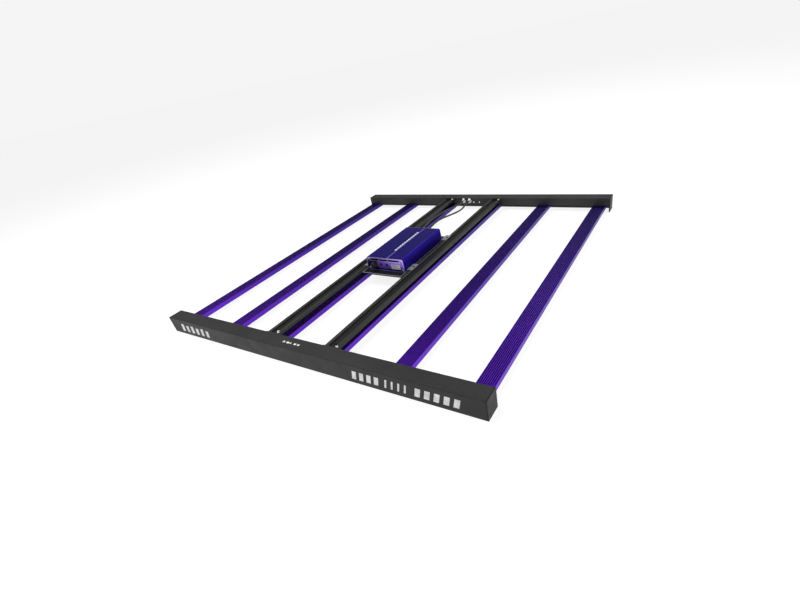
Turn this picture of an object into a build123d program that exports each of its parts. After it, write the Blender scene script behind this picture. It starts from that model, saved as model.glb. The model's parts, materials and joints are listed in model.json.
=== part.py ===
from build123d import *
import math
import os

# LED grow light: six ribbed bars between two cross rails, with a central driver on two support channels.
# X runs along the rails, Y along the bars, Z up. The origin is on the floor, under the middle. Millimetres.

# ---------- overall ----------
WIDTH = 1074.0
LENGTH = 1124.0
CLEARANCE = 0.3

# ---------- rails ----------
RAIL_DEPTH = 44.0
RAIL_HEIGHT = 51.0
RAIL_WALL = 2.2
RAIL_WEB_Z = 24.0
RAIL_CHAMFER = 0.8
CAP_THICKNESS = 3.0
CAP_PLUG_DEPTH = 8.0
RAIL_OUTER_Y = LENGTH / 2
RAIL_INNER_Y = RAIL_OUTER_Y - RAIL_DEPTH
RAIL_HALF_LENGTH = WIDTH / 2 - CAP_THICKNESS

# ---------- LED bars ----------
BAR_COUNT = 6
BAR_SPACING = 200.5
BAR_WIDTH = 43.0
BAR_TOP_Z = RAIL_WEB_Z
BAR_BOTTOM_Z = 10.0
BAR_HALF_LENGTH = 540.0
BAR_PLUG_THICKNESS = 2.0
BAR_WALL = 2.4
BAR_SIDE_TOP = 2.0
BAR_STEP_Z = 13.0
BAR_STEP_INSET = 0.6
BAR_LIP_WIDTH = 2.1
BAR_LIP_THICKNESS = 1.5
BAR_BASE_UNDER_Z = 16.0
RIB_COUNT = 8
RIB_WIDTH = 2.0
RIB_FLOOR_Z = 20.0
BOARD_WIDTH = 37.4
BOARD_THICKNESS = 1.6
BOARD_HALF_LENGTH = 512.0
LENS_WIDTH = 37.8
LENS_THICKNESS = 1.5
LED_SIZE = 3.5
LED_HEIGHT = 0.7
LED_ROW_X = (-8.5, 8.5)
LEDS_PER_ROW = 40
LED_PITCH = 25.2
BAR_SCREW_Y = 529.0
BAR_SCREW_X = 12.0

# ---------- support channels ----------
CHANNEL_X = 105.0
CHANNEL_WIDTH = 44.0
CHANNEL_TOP_Z = 47.0
CHANNEL_LIP_Z = 39.0
CHANNEL_SHEET = 2.0
CHANNEL_RECESS_WIDTH = 22.0
CHANNEL_FLOOR_Z = 42.4
CHANNEL_BEND_OUTSIDE = 2.2
CHANNEL_BEND_INSIDE = 0.4
CHANNEL_EDGE = 0.3
BRACKET_PLATE = 2.0
CHANNEL_HALF_LENGTH = RAIL_INNER_Y - BRACKET_PLATE
BRACKET_BOTTOM_Z = 27.0
BRACKET_TOP_Z = 50.0
BRACKET_ARM_LENGTH = 20.0
BRACKET_ARM_HEIGHT = 4.0
BRACKET_ARM_WIDTH = 6.0
FLANGE_SCREW_X = 16.5
CHANNEL_SCREW_Y = 510.0
BRACKET_SCREW_X = 15.0
BRACKET_SCREW_Z = 31.0
HANGING_HOLE_RADIUS = 4.0
HANGING_HOLE_Y = 498.0

# ---------- driver tray ----------
TRAY_HALF_WIDTH = 75.5
TRAY_HALF_LENGTH = 150.0
TRAY_SHEET = 2.0
TRAY_TOP_Z = 41.0
TRAY_LIP = 1.5
TRAY_LIP_TOP_Z = TRAY_TOP_Z + 3.0
EAR_LENGTH = 40.0
EAR_Y = (-93.0, 130.0)
EAR_INNER_X = 74.0
EAR_OUTER_X = 93.0
TRAY_HOLD_X = 50.0
TRAY_HOLD_Y = 95.0

# ---------- driver ----------
DRIVER_HALF_LENGTH = 121.0
DRIVER_BOTTOM_Z = TRAY_TOP_Z
DRIVER_TOP_Z = DRIVER_BOTTOM_Z + 43.5
DRIVER_BOTTOM_HALF = 73.0
DRIVER_TOP_HALF = 70.0
DRIVER_CORNER = 5.0
DRIVER_WALL = 2.2
CAVITY_TOP_Z = 72.7
CHAMBER_LOW_Z = 74.5
CHAMBER_TOP_Z = 80.5
CHAMBER_ENDS = ((-57.0, -22.5), (-20.5, 11.5), (13.5, 57.0))
RIDGE_X = 12.5
RIDGE_WIDTH = 5.0
RIDGE_HEIGHT = 1.0
PLATE_THICKNESS = 2.5
PLATE_RECESS = 3.0
PLATE_OUTER_Y = DRIVER_HALF_LENGTH - PLATE_RECESS
PLATE_INNER_Y = PLATE_OUTER_Y - PLATE_THICKNESS
TOP_SCREW = (63.5, 78.0)
LOW_SCREW = (64.5, DRIVER_BOTTOM_Z + 6.5)
PLATE_TAB_RADIUS = 3.4
PLATE_HOLE_RADIUS = 1.8
PLATE_BORE_DEPTH = 9.0
LEDGE_WIDTH = 4.0
LEDGE_THICKNESS = 1.5
BOSS_INWARD = 3.5
BOSS_OUTWARD = 6.0
BOSS_ABOVE = 4.0
PCB_Z = DRIVER_BOTTOM_Z + 6.0
PCB_THICKNESS = 1.6
PCB_HALF_WIDTH = 69.0
PCB_HALF_LENGTH = 106.5
PCB_TOP_Z = PCB_Z + PCB_THICKNESS
TRANSFORMERS = (
    (-30.0, 30.0, (36.0, 40.0, 22.0)),
    (28.0, -10.0, (34.0, 36.0, 21.0)),
    (30.0, 52.0, (26.0, 28.0, 18.0)),
)
CORE_CHEEK = 4.0
WINDING_GAP = 0.5
CAPACITOR_PLACES = ((-44, -50), (-22, -50), (-44, -14), (-22, -14), (4, -62), (4, 14), (4, 44))
CAPACITOR_RADIUS = 9.0
CAPACITOR_HEIGHT = 22.0

# ---------- front plate fittings ----------
DIMMER_X = -45.0
DIMMER_Z = 58.0
DIMMER_BODY_HALF = 8.5
DIMMER_BODY_DEPTH = 12.0
KNOB_RADIUS = 10.0
KNOB_DEPTH = 14.0
KNOB_GAP = 0.7
KNOB_EDGE = 1.2
KNOB_FLUTES = 14
FLUTE_RADIUS = 1.4
FLUTE_DEPTH = 0.8
FLUTE_START = 2.0
GRIP_WIDTH = 4.5
GRIP_HEIGHT = 3.0
GRIP_SHORTER = 4.0
GROOVE = (1.2, 6.0, 0.6)
KNOB_REST_TURN = 135.0
SHAFT_RADIUS = 3.0
SHAFT_LENGTH = 10.0
SHAFT_GAP = 0.08
BUSH_RADIUS = 4.5
SOCKET_X = (-20.0, 4.0)
SOCKET_Z = 59.0
SOCKET_WIDTH = 13.0
SOCKET_HEIGHT = 10.0
SOCKET_HOLE_WIDTH = 9.8
SOCKET_HOLE_HEIGHT = 6.9
SOCKET_DEPTH = 16.0
SOCKET_HOLE_DEPTH = 12.0
SOCKET_STEP = 4.0
LATCH_HALF_WIDTH = 3.0
LATCH_DEPTH = 3.0
LATCH_DROP = 1.0
LABEL_X = (21.5, 55.0)
LABEL_Z = (48.0, 64.0)
LABEL_THICKNESS = 0.3

# ---------- rear plate fittings and cables ----------
INLET_X = 36.0
INLET_Z = DRIVER_BOTTOM_Z + 19.5
INLET_FLANGE = (46.0, 23.4, 2.5)
INLET_BODY = (30.0, 22.0)
INLET_BODY_DEPTH = 18.0
INLET_HOLE = (24.4, 16.4)
INLET_HOLE_DEPTH = 15.0
INLET_PIN_LENGTH = 8.0
INLET_PIN_HALF = (1.0, 2.0)
INLET_PIN_PLACES = ((-7, -1.5), (0, 2), (7, -1.5))
GLAND_FLATS = 17.0
GLAND_HEX_HEIGHT = 4.5
GLAND_DOME_RADIUS = 7.6
GLAND_DOME_HEIGHT = 8.5
GLAND_DOME_EDGE = 2.5
GLAND_THREAD_SPARE = 2.0
GLAND_THREAD_RADIUS = 5.7
GLAND_NUT_HEIGHT = 4.0
GLAND_LENGTH = GLAND_HEX_HEIGHT + GLAND_DOME_HEIGHT
DRIVER_GLAND_X = (-8.0, -36.0)
DRIVER_GLAND_Z = DRIVER_BOTTOM_Z + 18.0
RAIL_GLAND_X = (-10.0, -36.5)
RAIL_GLAND_Z = 40.0
PLUG_BUTTON_X = (8.0, 33.0)
PLUG_BUTTON_Z = 33.5
PLUG_BUTTON_HOLE = 2.2
CABLE_DIAMETER = 6.5
CABLE_START_Y = PLATE_OUTER_Y + GLAND_LENGTH
CABLE_END_Y = RAIL_INNER_Y - GLAND_LENGTH
CABLE_1 = [
    (-8, CABLE_START_Y, DRIVER_GLAND_Z),
    (-8, 170, DRIVER_GLAND_Z),
    (-17, 214, 54.5),
    (-33, 264, 48),
    (-30, 318, 43),
    (-14, 362, 40),
    (-1, 408, 38.3),
    (-3, 446, 38.6),
    (-10, 477, RAIL_GLAND_Z),
    (-10, CABLE_END_Y, RAIL_GLAND_Z),
]
CABLE_2 = [
    (-36, CABLE_START_Y, DRIVER_GLAND_Z),
    (-36, 170, DRIVER_GLAND_Z),
    (-47, 218, 55),
    (-60, 270, 49.5),
    (-66, 325, 45),
    (-64, 380, 41.5),
    (-54, 428, 40),
    (-36.5, 467, RAIL_GLAND_Z),
    (-36.5, CABLE_END_Y, RAIL_GLAND_Z),
]

# ---------- harness inside the rear rail ----------
TRUNK_Y = 540.0
TRUNK_Z = RAIL_GLAND_Z
TRUNK_RADIUS = 4.5
LEAD_RADIUS = 1.8
LEAD_DROP_Y = 551.0
LEAD_Z = 13.2
LEAD_BEND = 5.0
LEAD_HOLE_RADIUS = 3.2
TRUNK_OVERHANG = 8.0

# ---------- screws: head radius, head height, shank radius, hexagon key ----------
M4_PAN = (3.5, 2.4, 2.0, 2.5)
M4_SMALL_PAN = (3.2, 2.0, 2.0, 2.5)
M3_PAN = (2.8, 2.0, 1.5, 2.0)
PLUG_BUTTON = (2.8, 1.4, 1.9, 1.6)
M4_HOLE = 2.0 + CLEARANCE
BAR_SCREW_LENGTH = 13.0
FLANGE_SCREW_LENGTH = 8.0
TRAY_SCREW_LENGTH = 7.0
DRIVER_SCREW_LENGTH = 6.0
PLATE_SCREW_LENGTH = 8.0
PLUG_BUTTON_LENGTH = 5.0

BAR_X = [BAR_SPACING * (i - (BAR_COUNT - 1) / 2) for i in range(BAR_COUNT)]
ENDS = {"front": -1, "rear": 1}
SIDES = {"left": -1, "right": 1}


# ---------- helpers ----------
def block(x0, x1, y0, y1, z0, z1):
    """A box between two corners."""
    return Pos((x0 + x1) / 2, (y0 + y1) / 2, (z0 + z1) / 2) * Box(abs(x1 - x0), abs(y1 - y0), abs(z1 - z0))


def prism(points, direction):
    """A flat polygon pushed along a direction."""
    return Solid.extrude(Face(Wire.make_polygon([Vector(*p) for p in points])), Vector(*direction))


def along_y(profile, y0, y1):
    """An (x, z) outline as a bar from y0 to y1."""
    return prism([(x, y0, z) for x, z in profile], (0, y1 - y0, 0))


def along_x(profile, x0, x1):
    """A (y, z) outline as a bar from x0 to x1."""
    return prism([(x0, y, z) for y, z in profile], (x1 - x0, 0, 0))


def pin(point, direction, radius, length):
    """A round pin that starts at a point and runs along a direction."""
    plane = Plane(origin=point, z_dir=direction)
    return plane * Pos(0, 0, length / 2) * Cylinder(radius, length)


def pan_screw(point, direction, screw, length):
    """A pan head on the surface at point, facing along direction, with its shank going the other way."""
    head_radius, head_height, shank_radius, key = screw
    head = fillet(Cylinder(head_radius, head_height).edges().group_by(Axis.Z)[-1], head_height * 0.45)
    socket = extrude(RegularPolygon(key / math.sqrt(3), 6), head_height * 0.6)
    head = Pos(0, 0, head_height / 2) * head - Pos(0, 0, head_height * 0.5) * socket
    shank = Pos(0, 0, -length / 2) * Cylinder(shank_radius, length)
    return Plane(origin=point, z_dir=direction) * (head + shank)


def save(name, *solids):
    """Writes one node, as one solid or a group of separate solids."""
    pieces = [s for shape in solids for s in shape.solids()]
    shape = pieces[0] if len(pieces) == 1 else Compound(pieces)
    export_step(shape, f"parts/{name}.step")


# ---------- rails ----------
def rail_profile(sign):
    """Tall outer wall, closed box above the web, as (y, z) points."""
    edge = RAIL_CHAMFER
    points = [
        (0, 0),
        (0, RAIL_HEIGHT - edge),
        (edge, RAIL_HEIGHT),
        (RAIL_DEPTH - edge, RAIL_HEIGHT),
        (RAIL_DEPTH, RAIL_HEIGHT - edge),
        (RAIL_DEPTH, RAIL_WEB_Z),
        (RAIL_WALL, RAIL_WEB_Z),
        (RAIL_WALL, 0),
    ]
    return [(sign * (RAIL_OUTER_Y - u), z) for u, z in points]


def rail(sign):
    body = along_x(rail_profile(sign), -RAIL_HALF_LENGTH, RAIL_HALF_LENGTH)
    hollow = block(
        -WIDTH, WIDTH,
        sign * (RAIL_OUTER_Y - RAIL_WALL), sign * (RAIL_INNER_Y + RAIL_WALL),
        RAIL_WEB_Z + RAIL_WALL, RAIL_HEIGHT - RAIL_WALL,
    )
    body -= hollow
    for x in BAR_X:
        for dx in (-BAR_SCREW_X, BAR_SCREW_X):
            body -= pin((x + dx, sign * BAR_SCREW_Y, RAIL_WEB_Z - 1), (0, 0, 1), M4_HOLE, RAIL_WALL + 2)
    for x, z in bracket_screw_places():
        body -= pin((x, sign * (RAIL_INNER_Y - 1), z), (0, sign, 0), M4_HOLE, RAIL_WALL + 2)
    return body


def rear_rail():
    body = rail(1)
    inside = RAIL_INNER_Y - 1
    through = RAIL_WALL + 2
    for x in RAIL_GLAND_X:
        body -= pin((x, inside, RAIL_GLAND_Z), (0, 1, 0), GLAND_THREAD_RADIUS + CLEARANCE, through)
    for x in PLUG_BUTTON_X:
        body -= pin((x, inside, PLUG_BUTTON_Z), (0, 1, 0), PLUG_BUTTON_HOLE, through)
    for x in BAR_X:
        body -= pin((x, LEAD_DROP_Y, RAIL_WEB_Z - 1), (0, 0, 1), LEAD_HOLE_RADIUS, through)
    return body


def end_cap(side, sign):
    """A flat plate on the rail's end with a plug that goes into the rail's box."""
    edge = RAIL_CHAMFER
    outline = [
        (0, 0),
        (0, RAIL_HEIGHT - edge),
        (edge, RAIL_HEIGHT),
        (RAIL_DEPTH - edge, RAIL_HEIGHT),
        (RAIL_DEPTH, RAIL_HEIGHT - edge),
        (RAIL_DEPTH, 0),
    ]
    outline = [(sign * (RAIL_OUTER_Y - u), z) for u, z in outline]
    plate = along_x(outline, side * RAIL_HALF_LENGTH, side * WIDTH / 2)
    inset = RAIL_WALL + CLEARANCE
    plug = block(
        side * (RAIL_HALF_LENGTH - CAP_PLUG_DEPTH), side * (RAIL_HALF_LENGTH + 1),
        sign * (RAIL_OUTER_Y - inset), sign * (RAIL_INNER_Y + inset),
        RAIL_WEB_Z + inset, RAIL_HEIGHT - inset,
    )
    return plate + plug


# ---------- LED bars ----------
def heatsink_profile():
    """Ribbed top, stepped sides and lips that hold the cover strip, as (x, z) points."""
    half = BAR_WIDTH / 2
    inner = half - BAR_WALL
    step = half - BAR_STEP_INSET
    lip = inner - BAR_LIP_WIDTH
    lip_z = BAR_BOTTOM_Z + BAR_LIP_THICKNESS
    right = [
        (half, BAR_TOP_Z),
        (half, BAR_STEP_Z + BAR_STEP_INSET),
        (step, BAR_STEP_Z),
        (step, BAR_BOTTOM_Z),
        (lip, BAR_BOTTOM_Z),
        (lip, lip_z),
        (inner, lip_z),
        (inner, BAR_BASE_UNDER_Z),
    ]
    left = [(-x, z) for x, z in reversed(right)]
    ribbed = half - BAR_SIDE_TOP
    gap = (2 * ribbed - RIB_COUNT * RIB_WIDTH) / (RIB_COUNT + 1)
    top = [(-ribbed, BAR_TOP_Z), (-ribbed, RIB_FLOOR_Z)]
    for i in range(RIB_COUNT):
        x = -ribbed + gap + i * (gap + RIB_WIDTH)
        end = x + RIB_WIDTH
        top += [(x, RIB_FLOOR_Z), (x, BAR_TOP_Z), (end, BAR_TOP_Z), (end, RIB_FLOOR_Z)]
    top += [(ribbed, RIB_FLOOR_Z), (ribbed, BAR_TOP_Z)]
    return right + left + top


def heatsink():
    """One bar's extrusion, at x = 0."""
    body = along_y(heatsink_profile(), -BAR_HALF_LENGTH, BAR_HALF_LENGTH)
    through = BAR_TOP_Z - BAR_BASE_UNDER_Z + 2
    for y in (-BAR_SCREW_Y, BAR_SCREW_Y):
        for x in (-BAR_SCREW_X, BAR_SCREW_X):
            body -= pin((x, y, BAR_BASE_UNDER_Z - 1), (0, 0, 1), M4_HOLE, through)
    return body


def led_board():
    half = BOARD_WIDTH / 2
    low = BAR_BASE_UNDER_Z - BOARD_THICKNESS
    return block(-half, half, -BOARD_HALF_LENGTH, BOARD_HALF_LENGTH, low, BAR_BASE_UNDER_Z)


def led_packages():
    """Two rows of square LED packages on the underside of the board."""
    top = BAR_BASE_UNDER_Z - BOARD_THICKNESS
    package = Box(LED_SIZE, LED_SIZE, LED_HEIGHT)
    start = -LED_PITCH * (LEDS_PER_ROW - 1) / 2
    return [
        Pos(x, start + LED_PITCH * i, top - LED_HEIGHT / 2) * package
        for x in LED_ROW_X
        for i in range(LEDS_PER_ROW)
    ]


def cover_strip():
    half = LENS_WIDTH / 2
    low = BAR_BOTTOM_Z + BAR_LIP_THICKNESS
    return block(-half, half, -BOARD_HALF_LENGTH, BOARD_HALF_LENGTH, low, low + LENS_THICKNESS)


def bar_plugs(sign):
    """Flat plugs on the ends of the six bars. The rear ones have a hole for the lead."""
    half = BAR_WIDTH / 2 - BAR_STEP_INSET
    plugs = []
    for x in BAR_X:
        outer = sign * (BAR_HALF_LENGTH + BAR_PLUG_THICKNESS)
        plug = block(x - half, x + half, sign * BAR_HALF_LENGTH, outer, BAR_BOTTOM_Z, BAR_TOP_Z - CLEARANCE)
        if sign > 0:
            hole = (x, BAR_HALF_LENGTH - 1, LEAD_Z)
            plug -= pin(hole, (0, 1, 0), LEAD_RADIUS + CLEARANCE, 2 * BAR_PLUG_THICKNESS)
        plugs.append(plug)
    return plugs


def bar_screws(sign):
    """Screws from below, through the extrusion and into the rail's web."""
    return [
        pan_screw((x + dx, sign * BAR_SCREW_Y, BAR_BASE_UNDER_Z), (0, 0, -1), M4_PAN, BAR_SCREW_LENGTH)
        for x in BAR_X
        for dx in (-BAR_SCREW_X, BAR_SCREW_X)
    ]


# ---------- support channels ----------
def channel_outline(centre):
    """The hat section as (x, z, corner radius), right half first."""
    half = CHANNEL_WIDTH / 2
    recess = CHANNEL_RECESS_WIDTH / 2
    sheet = CHANNEL_SHEET
    outside = CHANNEL_BEND_OUTSIDE
    inside = CHANNEL_BEND_INSIDE
    right = [
        (recess, CHANNEL_FLOOR_Z, inside),
        (recess, CHANNEL_TOP_Z, outside),
        (half, CHANNEL_TOP_Z, outside),
        (half, CHANNEL_LIP_Z, CHANNEL_EDGE),
        (half - sheet, CHANNEL_LIP_Z, CHANNEL_EDGE),
        (half - sheet, CHANNEL_TOP_Z - sheet, inside),
        (recess + sheet, CHANNEL_TOP_Z - sheet, inside),
        (recess + sheet, CHANNEL_FLOOR_Z - sheet, outside),
    ]
    left = [(-x, z, radius) for x, z, radius in reversed(right)]
    return [(centre + x, z, radius) for x, z, radius in right + left]


def support_channel(side):
    """A folded hat section: two flanges, a sunken floor between them and a lip down each edge."""
    centre = side * CHANNEL_X
    outline = channel_outline(centre)
    corners = [(x, -CHANNEL_HALF_LENGTH, z) for x, z, _ in outline]
    edge = FilletPolyline(*corners, radius=[radius for _, _, radius in outline], close=True)
    body = Solid.extrude(Face(Wire(edge.edges())), Vector(0, 2 * CHANNEL_HALF_LENGTH, 0))
    for sign in ENDS.values():
        body -= flange_hole(centre + FLANGE_SCREW_X, sign * CHANNEL_SCREW_Y)
        hole = (centre, sign * HANGING_HOLE_Y, CHANNEL_FLOOR_Z - CHANNEL_SHEET - 1)
        body -= pin(hole, (0, 0, 1), HANGING_HOLE_RADIUS, CHANNEL_SHEET + 2)
    for y in EAR_Y:
        body -= flange_hole(side * (CHANNEL_X - FLANGE_SCREW_X), y)
    return body


def flange_hole(x, y):
    return pin((x, y, CHANNEL_TOP_Z - CHANNEL_SHEET - 1), (0, 0, 1), M4_HOLE, CHANNEL_SHEET + 2)


def channel_places():
    """The middle of each channel end: (x, sign of y)."""
    return [(side * CHANNEL_X, sign) for side in SIDES.values() for sign in ENDS.values()]


def bracket_screw_places():
    return [
        (side * CHANNEL_X + dx, BRACKET_SCREW_Z)
        for side in SIDES.values()
        for dx in (-BRACKET_SCREW_X, BRACKET_SCREW_X)
    ]


def channel_bracket(x, sign):
    """An end plate against the rail, with an arm under each flange. One arm takes a screw."""
    half = CHANNEL_WIDTH / 2
    face = sign * CHANNEL_HALF_LENGTH
    body = block(x - half, x + half, face, sign * RAIL_INNER_Y, BRACKET_BOTTOM_Z, BRACKET_TOP_Z)
    for dx in (-BRACKET_SCREW_X, BRACKET_SCREW_X):
        hole = (x + dx, face - sign, BRACKET_SCREW_Z)
        body -= pin(hole, (0, sign, 0), M4_HOLE, BRACKET_PLATE + 2)
    under = CHANNEL_TOP_Z - CHANNEL_SHEET
    for dx in (-FLANGE_SCREW_X, FLANGE_SCREW_X):
        arm = block(
            x + dx - BRACKET_ARM_WIDTH / 2, x + dx + BRACKET_ARM_WIDTH / 2,
            face - sign * BRACKET_ARM_LENGTH, face, under - BRACKET_ARM_HEIGHT, under,
        )
        body += arm
    hole = (x + FLANGE_SCREW_X, sign * CHANNEL_SCREW_Y, under - BRACKET_ARM_HEIGHT - 1)
    return body - pin(hole, (0, 0, 1), M4_HOLE, BRACKET_ARM_HEIGHT + 2)


def channel_screws():
    return [
        pan_screw(
            (x + FLANGE_SCREW_X, sign * CHANNEL_SCREW_Y, CHANNEL_TOP_Z), (0, 0, 1),
            M4_PAN, FLANGE_SCREW_LENGTH,
        )
        for x, sign in channel_places()
    ]


def bracket_screws():
    return [
        pan_screw(
            (x + dx, sign * CHANNEL_HALF_LENGTH, BRACKET_SCREW_Z), (0, -sign, 0), M4_PAN, FLANGE_SCREW_LENGTH,
        )
        for x, sign in channel_places()
        for dx in (-BRACKET_SCREW_X, BRACKET_SCREW_X)
    ]


# ---------- driver tray ----------
def driver_tray():
    """A lipped plate under the driver, with four ears that lie on the channels."""
    low = TRAY_TOP_Z - TRAY_SHEET
    wide = TRAY_HALF_WIDTH
    long = TRAY_HALF_LENGTH
    body = block(-wide, wide, -long, long, low, TRAY_TOP_Z)
    for s in (-1, 1):
        body += block(s * (wide - TRAY_LIP), s * wide, -long, long, low, TRAY_LIP_TOP_Z)
        body += block(-wide, wide, s * (long - TRAY_LIP), s * long, low, TRAY_LIP_TOP_Z)
        for y in EAR_Y:
            y0 = y - EAR_LENGTH / 2
            y1 = y + EAR_LENGTH / 2
            ear_top = CHANNEL_TOP_Z + TRAY_SHEET
            body += block(s * EAR_INNER_X, s * (EAR_INNER_X + TRAY_SHEET), y0, y1, low, ear_top)
            body += block(s * EAR_INNER_X, s * EAR_OUTER_X, y0, y1, CHANNEL_TOP_Z, ear_top)
            hole = (s * (CHANNEL_X - FLANGE_SCREW_X), y, CHANNEL_TOP_Z - 1)
            body -= pin(hole, (0, 0, 1), M4_HOLE, TRAY_SHEET + 2)
    for x, y in tray_hold_places():
        body -= pin((x, y, low - 1), (0, 0, 1), M4_HOLE, TRAY_SHEET + 2)
    return body


def tray_hold_places():
    return [(sx * TRAY_HOLD_X, sy * TRAY_HOLD_Y) for sx in (-1, 1) for sy in (-1, 1)]


def tray_screws():
    x = CHANNEL_X - FLANGE_SCREW_X
    top = CHANNEL_TOP_Z + TRAY_SHEET
    return [
        pan_screw((s * x, y, top), (0, 0, 1), M4_SMALL_PAN, TRAY_SCREW_LENGTH)
        for s in (-1, 1)
        for y in EAR_Y
    ]


def driver_fixing_screws():
    low = TRAY_TOP_Z - TRAY_SHEET
    return [pan_screw((x, y, low), (0, 0, -1), M4_PAN, DRIVER_SCREW_LENGTH) for x, y in tray_hold_places()]


# ---------- driver housing ----------
def driver_half_width(z):
    """Half width of the tapered housing at a height."""
    share = (z - DRIVER_BOTTOM_Z) / (DRIVER_TOP_Z - DRIVER_BOTTOM_Z)
    return DRIVER_BOTTOM_HALF + (DRIVER_TOP_HALF - DRIVER_BOTTOM_HALF) * share


def tapered(z0, z1, inset, y0, y1):
    """A bar with the housing's taper, between two heights."""
    low = driver_half_width(z0) - inset
    high = driver_half_width(z1) - inset
    return along_y([(-low, z0), (-high, z1), (high, z1), (low, z0)], y0, y1)


def plate_body(y0, y1, grow):
    """The outline of an end plate: it fills the cavity's mouth and has a tab up to each top screw."""
    body = tapered(
        DRIVER_BOTTOM_Z + DRIVER_WALL + CLEARANCE - grow, CAVITY_TOP_Z - CLEARANCE + grow,
        DRIVER_WALL + 2 * CLEARANCE - grow, y0, y1,
    )
    x, z = TOP_SCREW
    radius = PLATE_TAB_RADIUS + grow
    for s in (-1, 1):
        body += pin((s * x, y0, z), (0, 1, 0), radius, y1 - y0)
        body += block(s * x - radius, s * x + radius, y0, y1, CAVITY_TOP_Z - radius, z)
    return body


def plate_screw_places():
    return [(s * x, z) for s in (-1, 1) for x, z in (TOP_SCREW, LOW_SCREW)]


def driver_housing():
    long = DRIVER_HALF_LENGTH
    body = tapered(DRIVER_BOTTOM_Z, DRIVER_TOP_Z, 0, -long, long)
    body = fillet(body.edges().filter_by(Axis.Y).group_by(Axis.Z)[-1], DRIVER_CORNER)
    body -= tapered(DRIVER_BOTTOM_Z + DRIVER_WALL, CAVITY_TOP_Z, DRIVER_WALL + CLEARANCE, -long, long)
    for x0, x1 in CHAMBER_ENDS:
        body -= block(x0, x1, -long, long, CHAMBER_LOW_Z, CHAMBER_TOP_Z)
    half = RIDGE_WIDTH / 2
    body += block(RIDGE_X - half, RIDGE_X + half, -long, long, DRIVER_TOP_Z - 1, DRIVER_TOP_Z + RIDGE_HEIGHT)
    ledge_out = driver_half_width(PCB_Z) - DRIVER_WALL / 2
    ledge_in = PCB_HALF_WIDTH - LEDGE_WIDTH
    over_board = block(-long, long, -PCB_HALF_LENGTH - 1, PCB_HALF_LENGTH + 1, 0, DRIVER_TOP_Z)
    x, z = LOW_SCREW
    for s in (-1, 1):
        body += block(s * ledge_in, s * ledge_out, -long, long, PCB_Z - LEDGE_THICKNESS, PCB_Z)
        boss = block(
            s * (x - BOSS_INWARD), s * (x + BOSS_OUTWARD), -long, long, DRIVER_BOTTOM_Z + 1, z + BOSS_ABOVE,
        )
        body += boss - over_board
    for sign in ENDS.values():
        y0, y1 = sorted((sign * PLATE_INNER_Y, sign * (long + 1)))
        body -= plate_body(y0, y1, CLEARANCE)
        for x, z in plate_screw_places():
            start = (x, sign * (PLATE_INNER_Y + 1), z)
            body -= pin(start, (0, -sign, 0), PLATE_HOLE_RADIUS, PLATE_BORE_DEPTH)
    for x, y in tray_hold_places():
        body -= pin((x, y, DRIVER_BOTTOM_Z - 1), (0, 0, 1), M4_HOLE, DRIVER_WALL + 2)
    return body


def end_plate(sign):
    y0, y1 = sorted((sign * PLATE_INNER_Y, sign * PLATE_OUTER_Y))
    body = plate_body(y0, y1, 0)
    for x, z in plate_screw_places():
        body -= pin((x, y0 - 1, z), (0, 1, 0), PLATE_HOLE_RADIUS, PLATE_THICKNESS + 2)
    return body


def driver_front_plate():
    body = end_plate(-1)
    y = -PLATE_OUTER_Y - 1
    deep = PLATE_THICKNESS + 2
    body -= pin((DIMMER_X, y, DIMMER_Z), (0, 1, 0), BUSH_RADIUS + CLEARANCE, deep)
    wide = SOCKET_WIDTH / 2 + CLEARANCE
    high = SOCKET_HEIGHT / 2 + CLEARANCE
    for x in SOCKET_X:
        body -= block(x - wide, x + wide, y, y + deep, SOCKET_Z - high, SOCKET_Z + high)
    return body


def driver_rear_plate():
    body = end_plate(1)
    y = PLATE_INNER_Y - 1
    deep = PLATE_THICKNESS + 2
    for x in DRIVER_GLAND_X:
        body -= pin((x, y, DRIVER_GLAND_Z), (0, 1, 0), GLAND_THREAD_RADIUS + CLEARANCE, deep)
    wide = INLET_BODY[0] / 2 + CLEARANCE
    high = INLET_BODY[1] / 2 + CLEARANCE
    body -= block(INLET_X - wide, INLET_X + wide, y, y + deep, INLET_Z - high, INLET_Z + high)
    return body


def plate_screws():
    return [
        pan_screw((x, sign * PLATE_OUTER_Y, z), (0, sign, 0), M3_PAN, PLATE_SCREW_LENGTH)
        for sign in ENDS.values()
        for x, z in plate_screw_places()
    ]


# ---------- inside the driver ----------
def driver_circuit_board():
    half = PCB_HALF_WIDTH
    return block(-half, half, -PCB_HALF_LENGTH, PCB_HALF_LENGTH, PCB_Z, PCB_TOP_Z)


def transformer(x, y, size):
    """A ferrite core with a round winding between its cheeks."""
    wide, long, high = size
    low = PCB_TOP_Z
    top = low + high
    core = block(x - wide / 2, x + wide / 2, y - long / 2, y + long / 2, low, top)
    window = block(
        x - wide / 2, x + wide / 2, y - long / 3, y + long / 3, low + CORE_CHEEK, top - CORE_CHEEK,
    )
    winding = Pos(x, y, low + high / 2) * Cylinder(long / 3 - WINDING_GAP, high - 2 * CORE_CHEEK)
    return core - window + winding


def driver_transformers():
    return [transformer(x, y, size) for x, y, size in TRANSFORMERS]


def driver_capacitors():
    """Round storage capacitors, standing on the board."""
    up = (0, 0, 1)
    return [pin((x, y, PCB_TOP_Z), up, CAPACITOR_RADIUS, CAPACITOR_HEIGHT) for x, y in CAPACITOR_PLACES]


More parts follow.
